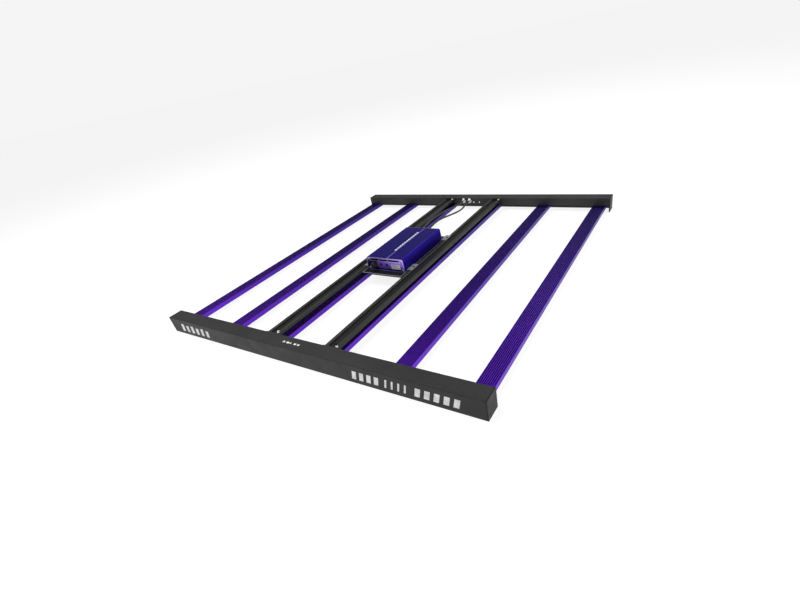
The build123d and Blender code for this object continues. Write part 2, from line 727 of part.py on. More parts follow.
# ---------- front plate fittings ----------
def dimmer_switch():
    """The dimmer's body behind the plate, its bush through the plate and its shaft in the knob."""
    half = DIMMER_BODY_HALF
    y = -PLATE_INNER_Y
    body = block(
        DIMMER_X - half, DIMMER_X + half, y, y + DIMMER_BODY_DEPTH, DIMMER_Z - half, DIMMER_Z + half,
    )
    centre = (DIMMER_X, y, DIMMER_Z)
    body += pin(centre, (0, -1, 0), BUSH_RADIUS, PLATE_THICKNESS)
    body += pin(centre, (0, -1, 0), SHAFT_RADIUS, PLATE_THICKNESS + KNOB_GAP + SHAFT_LENGTH)
    return body


def dimmer_knob():
    """A fluted knob with a raised grip bar, blind-bored for the shaft."""
    start = (DIMMER_X, -PLATE_OUTER_Y - KNOB_GAP, DIMMER_Z)
    skirt = KNOB_DEPTH - GRIP_HEIGHT
    body = Cylinder(KNOB_RADIUS, skirt)
    body = Pos(0, 0, skirt / 2) * fillet(body.edges().group_by(Axis.Z)[-1], KNOB_EDGE)
    flute = Cylinder(FLUTE_RADIUS, 2 * KNOB_DEPTH - FLUTE_START * 2)
    flute = Pos(KNOB_RADIUS + FLUTE_RADIUS - FLUTE_DEPTH, 0, KNOB_DEPTH) * flute
    for i in range(KNOB_FLUTES):
        body -= Rot(0, 0, 360 * i / KNOB_FLUTES) * flute
    grip = Pos(0, 0, skirt - 1 + (GRIP_HEIGHT + 1) / 2) * Box(
        GRIP_WIDTH, 2 * KNOB_RADIUS - GRIP_SHORTER, GRIP_HEIGHT + 1,
    )
    wide, long, deep = GROOVE
    groove = Pos(0, KNOB_RADIUS - GRIP_SHORTER / 2 - long / 2, KNOB_DEPTH) * Box(wide, long, 2 * deep)
    bore = Pos(0, 0, SHAFT_LENGTH / 2) * Cylinder(SHAFT_RADIUS + SHAFT_GAP, SHAFT_LENGTH + 2 * CLEARANCE)
    body = Rot(0, 0, KNOB_REST_TURN) * (body + grip - groove - bore)
    return Plane(origin=start, x_dir=(1, 0, 0), z_dir=(0, -1, 0)) * body


def control_socket(x):
    """A modular control socket: its mouth is flush with the front plate and its body stands on the board."""
    y = -PLATE_OUTER_Y
    half = SOCKET_WIDTH / 2
    top = SOCKET_Z + SOCKET_HEIGHT / 2
    back = y + SOCKET_DEPTH
    body = block(x - half, x + half, y, back, SOCKET_Z - SOCKET_HEIGHT / 2, top)
    body += block(x - half, x + half, -PCB_HALF_LENGTH, back + SOCKET_STEP, PCB_TOP_Z, top)
    wide = SOCKET_HOLE_WIDTH / 2
    high = SOCKET_HOLE_HEIGHT / 2
    body -= block(x - wide, x + wide, y, y + SOCKET_HOLE_DEPTH, SOCKET_Z - high, SOCKET_Z + high)
    low = SOCKET_Z - high - LATCH_DROP
    body -= block(x - LATCH_HALF_WIDTH, x + LATCH_HALF_WIDTH, y, y + LATCH_DEPTH, low, SOCKET_Z)
    return body


def rating_label():
    y = -PLATE_OUTER_Y
    return block(*LABEL_X, y - LABEL_THICKNESS, y, *LABEL_Z)


# ---------- rear plate fittings ----------
def about_inlet(wide, high, y0, y1):
    """A block centred on the inlet."""
    return block(INLET_X - wide / 2, INLET_X + wide / 2, y0, y1, INLET_Z - high / 2, INLET_Z + high / 2)


def mains_inlet():
    """A three-pin appliance inlet in the rear plate."""
    wide, high, thick = INLET_FLANGE
    y = PLATE_OUTER_Y
    mouth = y + thick
    floor = mouth - INLET_HOLE_DEPTH
    body = about_inlet(wide, high, y, mouth)
    body += about_inlet(*INLET_BODY, y - INLET_BODY_DEPTH, y)
    body -= about_inlet(*INLET_HOLE, floor, mouth)
    half_wide, half_high = INLET_PIN_HALF
    for dx, dz in INLET_PIN_PLACES:
        x = INLET_X + dx
        z = INLET_Z + dz
        body += block(
            x - half_wide, x + half_wide, floor - 1, floor + INLET_PIN_LENGTH, z - half_high, z + half_high,
        )
    return body


def gland(point, direction, wall):
    """A cable gland on a wall's outer face: hexagon, dome, thread through the wall and a nut behind it."""
    hexagon = RegularPolygon(GLAND_FLATS / math.sqrt(3), 6)
    body = extrude(hexagon, GLAND_HEX_HEIGHT)
    dome = Cylinder(GLAND_DOME_RADIUS, GLAND_DOME_HEIGHT)
    dome = fillet(dome.edges().group_by(Axis.Z)[-1], GLAND_DOME_EDGE)
    body += Pos(0, 0, GLAND_HEX_HEIGHT + GLAND_DOME_HEIGHT / 2) * dome
    thread = wall + GLAND_NUT_HEIGHT + GLAND_THREAD_SPARE
    body += Pos(0, 0, -thread / 2) * Cylinder(GLAND_THREAD_RADIUS, thread)
    body += Pos(0, 0, -wall - GLAND_NUT_HEIGHT) * extrude(hexagon, GLAND_NUT_HEIGHT)
    return Plane(origin=point, x_dir=(1, 0, 0), z_dir=direction) * body


def driver_glands():
    return [gland((x, PLATE_OUTER_Y, DRIVER_GLAND_Z), (0, 1, 0), PLATE_THICKNESS) for x in DRIVER_GLAND_X]


def rail_glands():
    return [gland((x, RAIL_INNER_Y, RAIL_GLAND_Z), (0, -1, 0), RAIL_WALL) for x in RAIL_GLAND_X]


def rail_plug_buttons():
    """Two small plugs that close spare holes in the rear rail's inner wall."""
    return [
        pan_screw((x, RAIL_INNER_Y, PLUG_BUTTON_Z), (0, -1, 0), PLUG_BUTTON, PLUG_BUTTON_LENGTH)
        for x in PLUG_BUTTON_X
    ]


# ---------- cables ----------
def bend_radii(points):
    """The arc at each corner: 0.45 of the shorter run, over the tangent of half the turn."""
    radii = []
    for before, corner, after in zip(points, points[1:], points[2:]):
        first = Vector(*corner) - Vector(*before)
        second = Vector(*after) - Vector(*corner)
        half_turn = math.radians(first.get_angle(second)) / 2
        radii.append(0.45 * min(first.length, second.length) / math.tan(half_turn))
    return radii


def tube(points, radius, bends):
    """A round tube along straight runs joined by arcs, and the length of its middle line."""
    path = FilletPolyline(*points, radius=bends)
    section = Plane(origin=points[0], z_dir=Vector(*points[1]) - Vector(*points[0])) * Circle(radius)
    return sweep(section, path=path), path.length


def cable(name, points):
    """One output cable. Prints its length, its volume against its section times its length, and its radii."""
    radii = bend_radii(points)
    solid, length = tube(points, CABLE_DIAMETER / 2, radii)
    expected = length * math.pi * CABLE_DIAMETER ** 2 / 4
    print(name, "length", round(length, 1), "volume ratio", round(solid.volume / expected, 4))
    print(name, "radii", [round(r) for r in radii])
    return solid


def wiring_harness():
    """The bundle along the rear rail, its two feeds from the glands and a lead down into each bar."""
    reach = BAR_X[-1] + TRUNK_OVERHANG
    body = pin((-reach, TRUNK_Y, TRUNK_Z), (1, 0, 0), TRUNK_RADIUS, 2 * reach)
    inner = RAIL_INNER_Y + RAIL_WALL + GLAND_NUT_HEIGHT + GLAND_THREAD_SPARE
    for x in RAIL_GLAND_X:
        body += pin((x, inner, RAIL_GLAND_Z), (0, 1, 0), CABLE_DIAMETER / 2, TRUNK_Y - inner)
    for x in BAR_X:
        route = [
            (x, TRUNK_Y, TRUNK_Z),
            (x, LEAD_DROP_Y, TRUNK_Z),
            (x, LEAD_DROP_Y, LEAD_Z),
            (x, BOARD_HALF_LENGTH, LEAD_Z),
        ]
        body += tube(route, LEAD_RADIUS, LEAD_BEND)[0]
    return body


# ---------- assembly ----------
def main():
    os.makedirs("parts", exist_ok=True)
    save("front_rail", rail(-1))
    save("rear_rail", rear_rail())
    for end, sign in ENDS.items():
        for side_name, side in SIDES.items():
            save(f"{end}_{side_name}_end_cap", end_cap(side, sign))
        save(f"bar_end_plugs_{end}", *bar_plugs(sign))
        save(f"bar_screws_{end}", *bar_screws(sign))

    extrusion = heatsink()
    board = led_board()
    packages = led_packages()
    strip = cover_strip()
    for i, x in enumerate(BAR_X, start=1):
        save(f"bar_{i}_heatsink", Pos(x, 0, 0) * extrusion)
        save(f"bar_{i}_board", Pos(x, 0, 0) * board)
        save(f"bar_{i}_leds", *[Pos(x, 0, 0) * p for p in packages])
        save(f"bar_{i}_cover_strip", Pos(x, 0, 0) * strip)

    for side_name, side in SIDES.items():
        save(f"support_channel_{side_name}", support_channel(side))
    save("channel_end_brackets", *[channel_bracket(x, sign) for x, sign in channel_places()])
    save("channel_screws", *channel_screws())
    save("bracket_screws", *bracket_screws())

    save("driver_tray", driver_tray())
    save("tray_screws", *tray_screws())
    save("driver_fixing_screws", *driver_fixing_screws())
    save("driver_housing", driver_housing())
    save("driver_front_plate", driver_front_plate())
    save("driver_rear_plate", driver_rear_plate())
    save("plate_screws", *plate_screws())
    save("driver_circuit_board", driver_circuit_board())
    save("driver_transformers", *driver_transformers())
    save("driver_capacitors", *driver_capacitors())

    save("dimmer_switch", dimmer_switch())
    save("dimmer_knob", dimmer_knob())
    save("control_sockets", *[control_socket(x) for x in SOCKET_X])
    save("rating_label", rating_label())
    save("mains_inlet", mains_inlet())
    save("driver_output_glands", *driver_glands())
    save("rail_glands", *rail_glands())
    save("rail_plug_buttons", *rail_plug_buttons())
    save("output_cable_1", cable("output_cable_1", CABLE_1))
    save("output_cable_2", cable("output_cable_2", CABLE_2))
    save("wiring_harness", wiring_harness())


main()
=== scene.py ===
import json
import math

import bmesh
import bpy
from mathutils import Matrix, Vector


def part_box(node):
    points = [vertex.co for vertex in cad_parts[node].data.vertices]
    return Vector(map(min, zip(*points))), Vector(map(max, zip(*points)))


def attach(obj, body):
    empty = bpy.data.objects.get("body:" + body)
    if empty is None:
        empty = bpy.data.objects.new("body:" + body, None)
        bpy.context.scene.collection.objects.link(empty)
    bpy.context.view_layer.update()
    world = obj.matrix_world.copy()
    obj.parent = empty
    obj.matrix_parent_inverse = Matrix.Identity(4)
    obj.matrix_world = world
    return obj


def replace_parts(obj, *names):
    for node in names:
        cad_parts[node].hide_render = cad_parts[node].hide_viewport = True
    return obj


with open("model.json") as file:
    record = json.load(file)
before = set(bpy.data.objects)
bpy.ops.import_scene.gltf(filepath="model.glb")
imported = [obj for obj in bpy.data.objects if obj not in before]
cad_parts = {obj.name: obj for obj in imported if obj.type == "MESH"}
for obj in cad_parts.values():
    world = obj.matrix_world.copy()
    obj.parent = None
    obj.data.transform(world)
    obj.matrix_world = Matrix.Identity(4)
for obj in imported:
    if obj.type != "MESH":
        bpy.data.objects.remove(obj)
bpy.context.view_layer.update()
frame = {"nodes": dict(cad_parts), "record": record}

MM = 0.001
BODY = "body"
KNOB = "knob"
BARS = range(1, 7)
NODES = frame["nodes"]
KNOB_CENTRE = Vector(frame["record"]["behaviour"]["joints"][0]["pos_m"])

# Directions: along the cross rails, along the light bars, and up.
ACROSS = (1, 0, 0)
ALONG = (0, 1, 0)
UP = (0, 0, 1)


# ---------- camera ----------
CAMERA_POSITION = Vector((0.8150, -1.0751, 0.6136))
CAMERA_TARGET = Vector((0.2367, -0.3282, 0.0))
CAMERA_ROLL = math.radians(-12.15)
SENSOR_WIDTH = 36.0
LENS = 19.30
SHIFT = (-0.0231, 0.0364)
NEAR_CLIP = 0.01


def make_camera():
    """Above the right front corner, rolled a little, and wide."""
    forward = (CAMERA_TARGET - CAMERA_POSITION).normalized()
    level_right = forward.cross(Vector(UP)).normalized()
    level_up = level_right.cross(forward)
    right = level_right * math.cos(CAMERA_ROLL) + level_up * math.sin(CAMERA_ROLL)
    up = right.cross(forward)
    data = bpy.data.cameras.new("camera")
    data.sensor_width = SENSOR_WIDTH
    data.lens = LENS
    data.shift_x, data.shift_y = SHIFT
    data.clip_start = NEAR_CLIP
    camera = bpy.data.objects.new("camera", data)
    turned = Matrix((right, up, -forward)).transposed()
    camera.matrix_world = Matrix.Translation(CAMERA_POSITION) @ turned.to_4x4()
    bpy.context.scene.collection.objects.link(camera)
    bpy.context.scene.camera = camera


# ---------- materials ----------
NOISE_BAND = (0.3, 0.7)       # holds most of a noise texture's values
CLOUD_BAND = (0.35, 0.65)     # narrower, for a clearer cloud
FINE_GRAIN = 3000.0
MOULD_GRAIN = 1600.0


class Surface:
    """A material with one Principled shader, and short calls for the textures that feed it."""

    def __init__(self, name, color, roughness, metallic=0.0, specular=0.5):
        self.material = bpy.data.materials.new(name)
        self.material.use_nodes = True
        self.tree = self.material.node_tree
        self.shader = next(n for n in self.tree.nodes if n.type == "BSDF_PRINCIPLED")
        self.set("Base Color", (*color, 1.0))
        self.set("Metallic", metallic)
        self.set("Roughness", roughness)
        self.set("Specular IOR Level", specular)

    def set(self, socket, value):
        """A value that is the same all over the surface, on the shader's own socket."""
        self.shader.inputs[socket].default_value = value

    def add(self, kind, **inputs):
        """A new node, with values for its inputs. An underscore stands for a space."""
        made = self.tree.nodes.new(kind)
        for key, value in inputs.items():
            made.inputs[key.replace("_", " ")].default_value = value
        return made

    def link(self, source, target):
        self.tree.links.new(source, target)

    def place(self, scale=(1, 1, 1)):
        """Object coordinates in metres, times a scale."""
        coordinate = self.add("ShaderNodeTexCoord")
        mapping = self.add("ShaderNodeMapping")
        mapping.inputs["Scale"].default_value = scale
        self.link(coordinate.outputs["Object"], mapping.inputs["Vector"])
        return mapping.outputs["Vector"]

    def noise(self, scale, detail=3.0, stretch=(1, 1, 1)):
        made = self.add("ShaderNodeTexNoise", Scale=scale, Detail=detail)
        self.link(self.place(stretch), made.inputs["Vector"])
        return made.outputs["Fac"]

    def ramp(self, source, low, high, out_low=0.0, out_high=1.0):
        """A source's band from low to high, mapped to another band and clamped there."""
        band = {"From_Min": low, "From_Max": high, "To_Min": out_low, "To_Max": out_high}
        made = self.add("ShaderNodeMapRange", **band)
        self.link(source, made.inputs["Value"])
        return made.outputs["Result"]

    def blend(self, factor, first, second):
        """A colour between two, each a colour or a socket, by a factor from a texture."""
        made = self.add("ShaderNodeMix")
        made.data_type = "RGBA"
        sockets = [s for s in made.inputs if s.type == "RGBA"]
        for socket, value in zip(sockets, (first, second)):
            if isinstance(value, tuple):
                socket.default_value = (*value, 1.0)
            else:
                self.link(value, socket)
        self.link(factor, made.inputs["Factor"])
        return next(o for o in made.outputs if o.type == "RGBA")

    def times(self, first, second):
        """A socket times a number or another socket."""
        made = self.add("ShaderNodeMath")
        made.operation = "MULTIPLY"
        self.link(first, made.inputs[0])
        if isinstance(second, float):
            made.inputs[1].default_value = second
        else:
            self.link(second, made.inputs[1])
        return made.outputs["Value"]

    def absolute(self, source):
        made = self.add("ShaderNodeMath")
        made.operation = "ABSOLUTE"
        self.link(source, made.inputs[0])
        return made.outputs["Value"]

    def axis_of(self, output, axis):
        """One component of an object-space coordinate output, such as Object or Normal."""
        coordinate = self.add("ShaderNodeTexCoord")
        parts = self.add("ShaderNodeSeparateXYZ")
        self.link(coordinate.outputs[output], parts.inputs["Vector"])
        return parts.outputs[axis]

    def skin(self):
        """What feeds the base colour now, so that a paint can be laid over it."""
        return self.shader.inputs["Base Color"].links[0].from_socket

    def color(self, socket):
        self.link(socket, self.shader.inputs["Base Color"])
        return self

    def rough(self, source, low, high):
        self.link(self.ramp(source, *NOISE_BAND, low, high), self.shader.inputs["Roughness"])

    def relief(self, source, height, strength):
        """A bump of a height in metres."""
        made = self.add("ShaderNodeBump", Strength=strength, Distance=height)
        self.link(source, made.inputs["Height"])
        self.link(made.outputs["Normal"], self.shader.inputs["Normal"])
        return self


def scaled(color, factor):
    """A colour made lighter or darker, and kept within white."""
    return tuple(min(1.0, c * factor) for c in color)


DUST_COVER = 0.10
DUST_TONE = 3.0
ORANGE_PEEL = 0.04 * MM
DIE_LINES = 0.03 * MM
DIE_LINE_STRETCH = (1400, 5, 1400)      # fine across the extrusion, and long along Y
TURNING_MARKS = 0.01 * MM
MOULD_RELIEF = 0.03 * MM


def powder_coat(name, color, roughness, specular):
    """Fine orange peel, faint handling marks and a little dust on what faces up."""
    s = Surface(name, color, roughness=roughness, specular=specular)
    cloud = s.ramp(s.noise(9.0, 4.0), *CLOUD_BAND)
    tone = s.blend(cloud, scaled(color, 0.85), scaled(color, 1.15))
    upward = s.ramp(s.axis_of("Normal", "Z"), 0.6, 1.0)
    specks = s.ramp(s.noise(160.0, 6.0), 0.45, 0.75)
    dust = s.times(s.times(upward, specks), DUST_COVER)
    s.color(s.blend(dust, tone, scaled(color, DUST_TONE)))
    s.rough(s.noise(35.0, 5.0), roughness - 0.06, roughness + 0.08)
    return s.relief(s.noise(1300.0, 2.0), ORANGE_PEEL, 0.5)


def anodised(name, color, roughness, metallic, specular=0.4):
    """Dyed aluminium: die lines along Y and a slightly uneven dye."""
    s = Surface(name, color, metallic=metallic, roughness=roughness, specular=specular)
    lines = s.noise(1.0, 4.0, DIE_LINE_STRETCH)
    cloud = s.ramp(s.noise(6.0, 3.0), *CLOUD_BAND)
    tone = s.blend(cloud, scaled(color, 0.88), scaled(color, 1.12))
    streaks = s.ramp(lines, *NOISE_BAND, 0.0, 0.35)
    s.color(s.blend(streaks, tone, scaled(color, 1.35)))
    s.rough(lines, roughness - 0.07, roughness + 0.10)
    return s.relief(lines, DIE_LINES, 0.5)


def bright_metal(name, color, roughness):
    """Plated steel or brass, with fine turning marks."""
    s = Surface(name, color, metallic=1.0, roughness=roughness)
    marks = s.noise(2500.0, 3.0)
    s.rough(marks, roughness - 0.05, roughness + 0.12)
    cloud = s.ramp(s.noise(300.0), *NOISE_BAND)
    s.color(s.blend(cloud, scaled(color, 0.85), scaled(color, 1.1)))
    return s.relief(marks, TURNING_MARKS, 0.4)


def moulded(name, color, roughness, grain=MOULD_GRAIN):
    """Moulded plastic, rubber, film or ink, with an eroded-mould grain."""
    s = Surface(name, color, roughness=roughness, specular=0.4)
    cloud = s.ramp(s.noise(60.0, 4.0), *NOISE_BAND)
    s.color(s.blend(cloud, scaled(color, 0.8), scaled(color, 1.25)))
    s.rough(s.noise(200.0, 4.0), roughness - 0.05, roughness + 0.08)
    return s.relief(s.noise(grain, 2.0), MOULD_RELIEF, 0.5)


# Colour, roughness and specular level.
COATED = {
    "dark_rail": ((0.035, 0.035, 0.036), 0.45, 0.15),
    # The end caps' coat is darker than the rails' as painted shade, which keeps the lit right cap
    # dark.
    "dark_cap": ((0.020, 0.020, 0.021), 0.48, 0.12),
}
# Colour and roughness.
METALS = {
    "bright_screw": ((0.90, 0.90, 0.92), 0.45),
    "nickel": ((0.74, 0.73, 0.70), 0.22),
    "black_screw": ((0.06, 0.06, 0.065), 0.38),
    "gold": ((0.86, 0.60, 0.22), 0.22),
}
PLASTICS = {
    "black_plastic": ((0.016, 0.016, 0.018), 0.45),
    "knob_black": ((0.020, 0.022, 0.024), 0.40),
    "cable_black": ((0.030, 0.034, 0.028), 0.50),
    "socket_violet": ((0.12, 0.07, 0.42), 0.40),
    "circuit_green": ((0.02, 0.14, 0.05), 0.35),
    "ferrite": ((0.06, 0.06, 0.065), 0.60),
    "capacitor_sleeve": ((0.03, 0.03, 0.08), 0.30),
}
PRINTS = {
    "label_white": ((0.93, 0.93, 0.93), 0.45),
    "print_white": ((0.86, 0.86, 0.88), 0.50),
    "dial_navy": ((0.020, 0.012, 0.14), 0.35),
}


def make_materials():
    """All materials by name. All but the gold and the inks are material slots of the record."""
    made = {
        "black_sheet": channel_paint(),
        "tray_sheet": tray_paint(),
        "violet_extrusion": extrusion_paint(),
        "violet_plate": plate_paint(),
        "violet_housing": housing_paint(),
        "board_white": board_paint(),
        "led_phosphor": phosphor_paint(),
        "clear_cover": clear_plastic(),
    }
    for name, (color, roughness, specular) in COATED.items():
        made[name] = powder_coat(name, color, roughness, specular)
    for name, (color, roughness) in METALS.items():
        made[name] = bright_metal(name, color, roughness)
    for name, (color, roughness) in PLASTICS.items():
        made[name] = moulded(name, color, roughness)
    for name, (color, roughness) in PRINTS.items():
        made[name] = moulded(name, color, roughness, FINE_GRAIN)
    return {name: surface.material for name, surface in made.items()}


BAR_HALF = 0.52
# Painted light along the bars: a lit violet at the near end, and shaded violets at the middle and
# the cable end.
NEAR_LIT_VIOLET = (0.120, 0.023, 0.48)
MIDDLE_SHADED_VIOLET = (0.055, 0.018, 0.28)
FAR_SHADED_VIOLET = (0.040, 0.026, 0.22)
MIDDLE_SHARE = 0.8
FAR_SHARE = 0.7


def extrusion_paint():
    """Violet anodising with painted light: lit brighter at the near end, and shaded darker and a
    little bluer towards the cable end.
    """
    s = anodised("violet_extrusion", NEAR_LIT_VIOLET, 0.40, metallic=0.9)
    y = s.axis_of("Object", "Y")
    shading_to_middle = s.times(s.ramp(y, -BAR_HALF, 0.0), MIDDLE_SHARE)
    shading_to_far = s.times(s.ramp(y, 0.0, BAR_HALF), FAR_SHARE)
    first = s.blend(shading_to_middle, s.skin(), MIDDLE_SHADED_VIOLET)
    return s.color(s.blend(shading_to_far, first, FAR_SHADED_VIOLET))


# Painted shade down in the channels' recesses, below the flange tops.
RECESS_PAINTED_SHADE = (0.009, 0.009, 0.009)


def channel_paint():
    """Black coated sheet, with painted shade darkening it down in the channels' recesses."""
    s = powder_coat("black_sheet", (0.030, 0.033, 0.027), 0.40, specular=0.3)
    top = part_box("support_channel_left")[1].z
    flange = s.ramp(s.axis_of("Object", "Z"), top - 3.0 * MM, top - 0.5 * MM)
    return s.color(s.blend(flange, RECESS_PAINTED_SHADE, s.skin()))


# Painted highlight on the tray's lip and ears.
LIP_PAINTED_HIGHLIGHT = (0.28, 0.28, 0.30)


def tray_paint():
    """Dark coated sheet. Its lip and the ears that stand above the flat are painted grey, as a
    painted highlight.
    """
    s = powder_coat("tray_sheet", (0.007, 0.007, 0.008), 0.42, specular=0.15)
    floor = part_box("driver_tray")[0].z
    lip = s.ramp(s.axis_of("Object", "Z"), floor + 3.6 * MM, floor + 3.9 * MM)
    return s.color(s.blend(lip, s.skin(), LIP_PAINTED_HIGHLIGHT))


# Painted dark reflection round the dimmer, and painted shade along the front plate's foot.
SHADE_AND_REFLECTION_NAVY = (0.030, 0.016, 0.18)
DARK_REFLECTION_EDGE = (-30 * MM, -33 * MM)       # the dark field lies left of this


def plate_paint():
    """Bright violet plates. The front one has a painted dark reflection round the dimmer and
    painted shade along its foot.
    """
    s = anodised("violet_plate", (0.38, 0.22, 1.0), 0.36, metallic=0.9)
    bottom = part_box("driver_front_plate")[0].z
    front = s.ramp(s.axis_of("Object", "Y"), 1 * MM, -1 * MM)
    dark_reflection = s.times(front, s.ramp(s.axis_of("Object", "X"), *DARK_REFLECTION_EDGE))
    # Painted shade along the front plate's foot.
    low = s.ramp(s.axis_of("Object", "Z"), bottom + 4.5 * MM, bottom + 3.5 * MM)
    foot = s.times(front, low)
    return s.color(s.blend(foot, s.blend(dark_reflection, s.skin(), SHADE_AND_REFLECTION_NAVY), SHADE_AND_REFLECTION_NAVY))


RIDGE_VIOLET = (0.38, 0.30, 0.85)
# Painted highlight along the housing's end edges.
EDGE_PAINTED_HIGHLIGHT = (0.56, 0.46, 1.0)
CUT_VIOLET = (0.62, 0.52, 1.0)


def housing_paint():
    """Deep violet anodising, with bright saw-cut ends, a bright ridge top and a painted highlight
    along the end edges.
    """
    s = anodised("violet_housing", (0.022, 0.007, 0.32), 0.36, metallic=0.95, specular=0.3)
    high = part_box("driver_housing")[1]
    cut = s.ramp(s.absolute(s.axis_of("Normal", "Y")), 0.9, 0.95)
    from_middle = s.absolute(s.axis_of("Object", "Y"))
    edge_highlight = s.ramp(from_middle, high.y - 1.4 * MM, high.y - 1.1 * MM)
    ridge = s.ramp(s.axis_of("Object", "Z"), high.z - 0.4 * MM, high.z - 0.3 * MM)
    trimmed = s.blend(ridge, s.skin(), RIDGE_VIOLET)
    edged = s.blend(edge_highlight, trimmed, EDGE_PAINTED_HIGHLIGHT)
    return s.color(s.blend(cut, edged, CUT_VIOLET))


PAD_PITCH = (12.6 * MM, 9.0 * MM)
PAD_GAP = 0.6 * MM


def board_paint():
    """White solder mask with faint pads between the rows."""
    s = Surface("board_white", (0.80, 0.80, 0.78), roughness=0.40)
    width, height = PAD_PITCH
    pads = s.add(
        "ShaderNodeTexBrick", Scale=1.0, Mortar_Size=PAD_GAP, Brick_Width=width, Row_Height=height,
        Color1=(0.82, 0.82, 0.80, 1), Color2=(0.81, 0.81, 0.79, 1), Mortar=(0.75, 0.75, 0.73, 1),
    )
    pads.offset = 0.0
    s.link(s.place(), pads.inputs["Vector"])
    s.color(pads.outputs["Color"])
    return s.relief(pads.outputs["Fac"], 0.04 * MM, 0.4)


def phosphor_paint():
    """Yellow phosphor gel with a fine grain."""
    s = Surface("led_phosphor", (0.86, 0.62, 0.08), roughness=0.25)
    grains = s.ramp(s.noise(2500.0), *NOISE_BAND)
    return s.color(s.blend(grains, (0.82, 0.55, 0.05), (0.92, 0.72, 0.16)))


def clear_plastic():
    """A clear strip that is very slightly wavy along its length."""
    s = Surface("clear_cover", (0.95, 0.97, 0.98), roughness=0.08)
    s.set("Transmission Weight", 1.0)
    s.set("IOR", 1.49)
    return s.relief(s.noise(300.0, 2.0, (1, 0.1, 1)), 0.02 * MM, 0.3)


def paint_nodes(materials):
    """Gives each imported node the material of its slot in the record."""
    for part in frame["record"]["subparts"]:
        node = NODES[part["node"]]
        if not node.material_slots:
            node.data.materials.append(None)
        for slot in node.material_slots:
            slot.link = "OBJECT"
            slot.material = materials[part["material_slot"]]


# ---------- mesh helpers ----------
SHARP_ANGLE = math.radians(35.0)


def mesh_object(name, bm, materials, body=BODY):
    """Turns a bmesh into a piece that rides on a body. The materials are in index order."""
    bmesh.ops.recalc_face_normals(bm, faces=bm.faces)
    data = bpy.data.meshes.new(name)
    bm.to_mesh(data)
    bm.free()
    for material in materials:
        data.materials.append(material)
    made = bpy.data.objects.new(name, data)
    bpy.context.scene.collection.objects.link(made)
    data.shade_smooth()
    data.set_sharp_from_angle(angle=SHARP_ANGLE)
    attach(made, body)
    return made


def add_box(bm, low, high, bevel=0.0, segments=2):
    """A box between two corners, with rounded edges, into a bmesh."""
    part = bmesh.new()
    centre = (Vector(low) + Vector(high)) / 2
    size = Vector(high) - Vector(low)
    placed = Matrix.Translation(centre) @ Matrix.Diagonal((*size, 1.0))
    bmesh.ops.create_cube(part, size=1.0, matrix=placed)
    if bevel:
        bmesh.ops.bevel(
            part, geom=part.edges[:], offset=bevel, segments=segments, profile=0.5, affect="EDGES",
        )
    merge(bm, part, 0)


def add_turned(bm, part, matrix, index=0):
    """Places one bmesh by a matrix, and merges it into another."""
    bmesh.ops.transform(part, matrix=matrix, verts=part.verts)
    merge(bm, part, index)


def add_lathe(bm, profile, matrix, steps, index=0):
    """A solid of revolution from (radius, height) points about local Z, placed by a matrix.

    A last point on the axis closes the solid in a tip.
    """
    part = bmesh.new()
    turns = [2 * math.pi * i / steps for i in range(steps)]
    rings = []
    for radius, height in profile:
        around = turns if radius else turns[:1]
        spots = [(radius * math.cos(a), radius * math.sin(a), height) for a in around]
        rings.append([part.verts.new(spot) for spot in spots])
    for below, above in zip(rings, rings[1:]):
        for i in range(steps):
            j = (i + 1) % steps
            order = ((below, i), (below, j), (above, j), (above, i))
            corners = [ring[k % len(ring)] for ring, k in order]
            part.faces.new(list(dict.fromkeys(corners)))
    for ring in (rings[0], rings[-1]):
        if len(ring) > 1:
            part.faces.new(ring)
    add_turned(bm, part, matrix, index)


def merge(bm, part, index):
    """Copies one bmesh into another, with a material index."""
    for face in part.faces:
        face.material_index = index
    scratch = bpy.data.meshes.new("scratch")
    part.to_mesh(scratch)
    part.free()
    bm.from_mesh(scratch)
    bpy.data.meshes.remove(scratch)


def facing(origin, direction, up=UP):
    """A matrix whose local Z points along a direction, at an origin."""
    z = Vector(direction).normalized()
    x = Vector(up).cross(z).normalized()
    y = z.cross(x)
    return Matrix.Translation(Vector(origin)) @ Matrix((x, y, z)).transposed().to_4x4()


# ---------- cables ----------
CABLE_DIAMETER = 6.5 * MM
# Control points in mm, from the driver's gland, over the gap, to the rail's gland.
CABLE_ROUTES = {
    "output_cable_1": [
        (-8, 131, 59),
        (-8, 170, 59),
        (-17, 214, 54.5),
        (-33, 264, 48),
        (-30, 318, 43),
        (-14, 362, 40),
        (-1, 408, 38.3),
        (-3, 446, 38.6),
        (-10, 477, 40),
        (-10, 505, 40),
    ],
    "output_cable_2": [
        (-36, 131, 59),
        (-36, 170, 59),
        (-47, 218, 55),
        (-60, 270, 49.5),
        (-66, 325, 45),
        (-64, 380, 41.5),
        (-54, 428, 40),
        (-36.5, 467, 40),
        (-36.5, 505, 40),
    ],
}


def make_cable(node, material):
    """One round cable from the driver's rear gland to the rear rail's gland."""
    points = [Vector(p) * MM for p in CABLE_ROUTES[node]]
    data = bpy.data.curves.new(node + "_sheath", "CURVE")
    data.dimensions = "3D"
    data.bevel_depth = CABLE_DIAMETER / 2
    data.bevel_resolution = 6
    data.resolution_u = 12
    data.use_fill_caps = True
    spline = data.splines.new("NURBS")
    spline.points.add(len(points) - 1)
    for target, point in zip(spline.points, points):
        target.co = (*point, 1.0)
    spline.order_u = 3
    spline.use_endpoint_u = True
    data.materials.append(material)
    made = bpy.data.objects.new(node + "_sheath", data)
    bpy.context.scene.collection.objects.link(made)
    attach(made, BODY)
    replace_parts(made, node)


# ---------- cable glands ----------
HEX_RADIUS = 17.0 / math.sqrt(3) * MM
HEX_HEIGHT = 4.5 * MM
DOME_RADIUS = 7.6 * MM
DOME_HEIGHT = 8.5 * MM
SEAL_RADIUS = 4.7 * MM
DOME_GRIPS = 12
GRIP_HALF = 0.9 * MM
GRIP_BEVEL = 0.35 * MM


